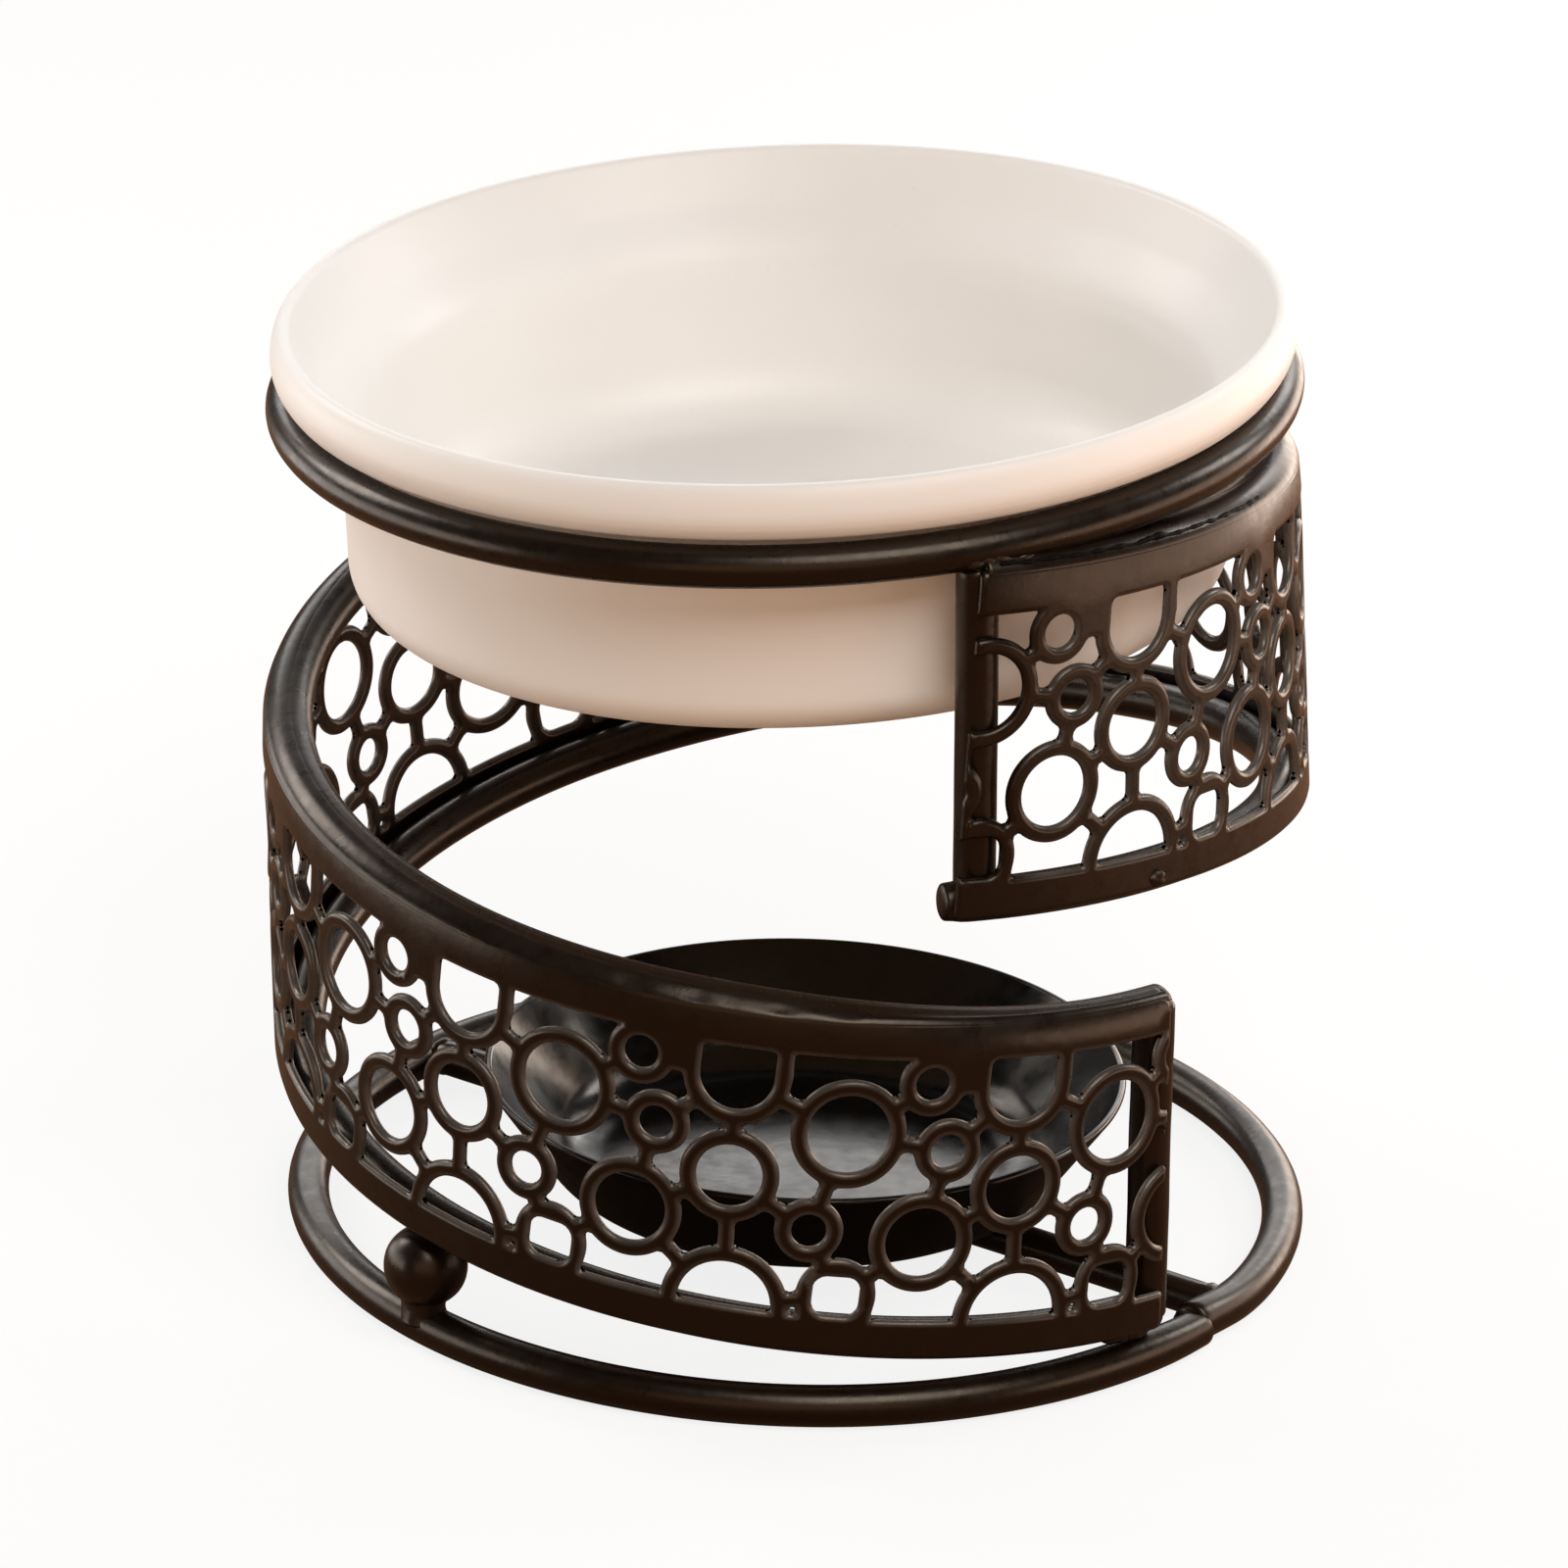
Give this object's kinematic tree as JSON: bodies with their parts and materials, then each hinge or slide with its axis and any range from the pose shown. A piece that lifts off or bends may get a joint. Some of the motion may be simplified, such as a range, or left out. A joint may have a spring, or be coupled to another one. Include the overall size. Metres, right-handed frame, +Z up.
{
  "type": "essential oil burner",
  "caption": "Oil burner: a loose ceramic bowl rests in a wire ring on a spiral strip of bubble filigree that climbs from a base ring, over a metal dish for a tealight.",
  "frame": {"origin": "centre of the whole object's outline seen from above, at the level of the table it stands on", "axes": "+Z up; the front is at -Y, where the strip's lower turn is open above the candle dish; +X is to the right, where the strip's two ends lie one above the other"},
  "size_m": [0.1278, 0.1254, 0.1205],
  "materials": {
    "glaze": "glossy warm white glaze",
    "satin_paint": "satin dark brown paint over steel wire and sheet",
    "dish_paint": "satin black paint over thin steel sheet",
    "weld_paint": "painted weld, slightly rough"
  },
  "bodies": {
    "stand": {"bowl_ring": "satin_paint", "filigree_strip": "satin_paint", "strip_top_wire": "satin_paint", "strip_bottom_wire": "satin_paint", "lower_end_post": "satin_paint", "upper_end_post": "satin_paint", "base_ring": "satin_paint", "base_ring_weld": "weld_paint", "cross_bar": "satin_paint", "cross_bar_welds": "weld_paint", "candle_dish": "dish_paint", "dish_tack_welds": "weld_paint", "spacer_ball": "satin_paint", "spacer_ball_weld": "weld_paint", "bowl_ring_weld": "weld_paint", "strip_foot_weld": "weld_paint", "strip_tack_weld": "weld_paint"},
    "bowl": {"ceramic_bowl": "glaze"}
  },
  "joints": [
    {"name": "bowl_lift", "type": "slide", "parent": "stand", "child": "bowl", "axis": [-0.0593, 0, 0.9982], "range_m": [0, 0.045]}
  ]
}
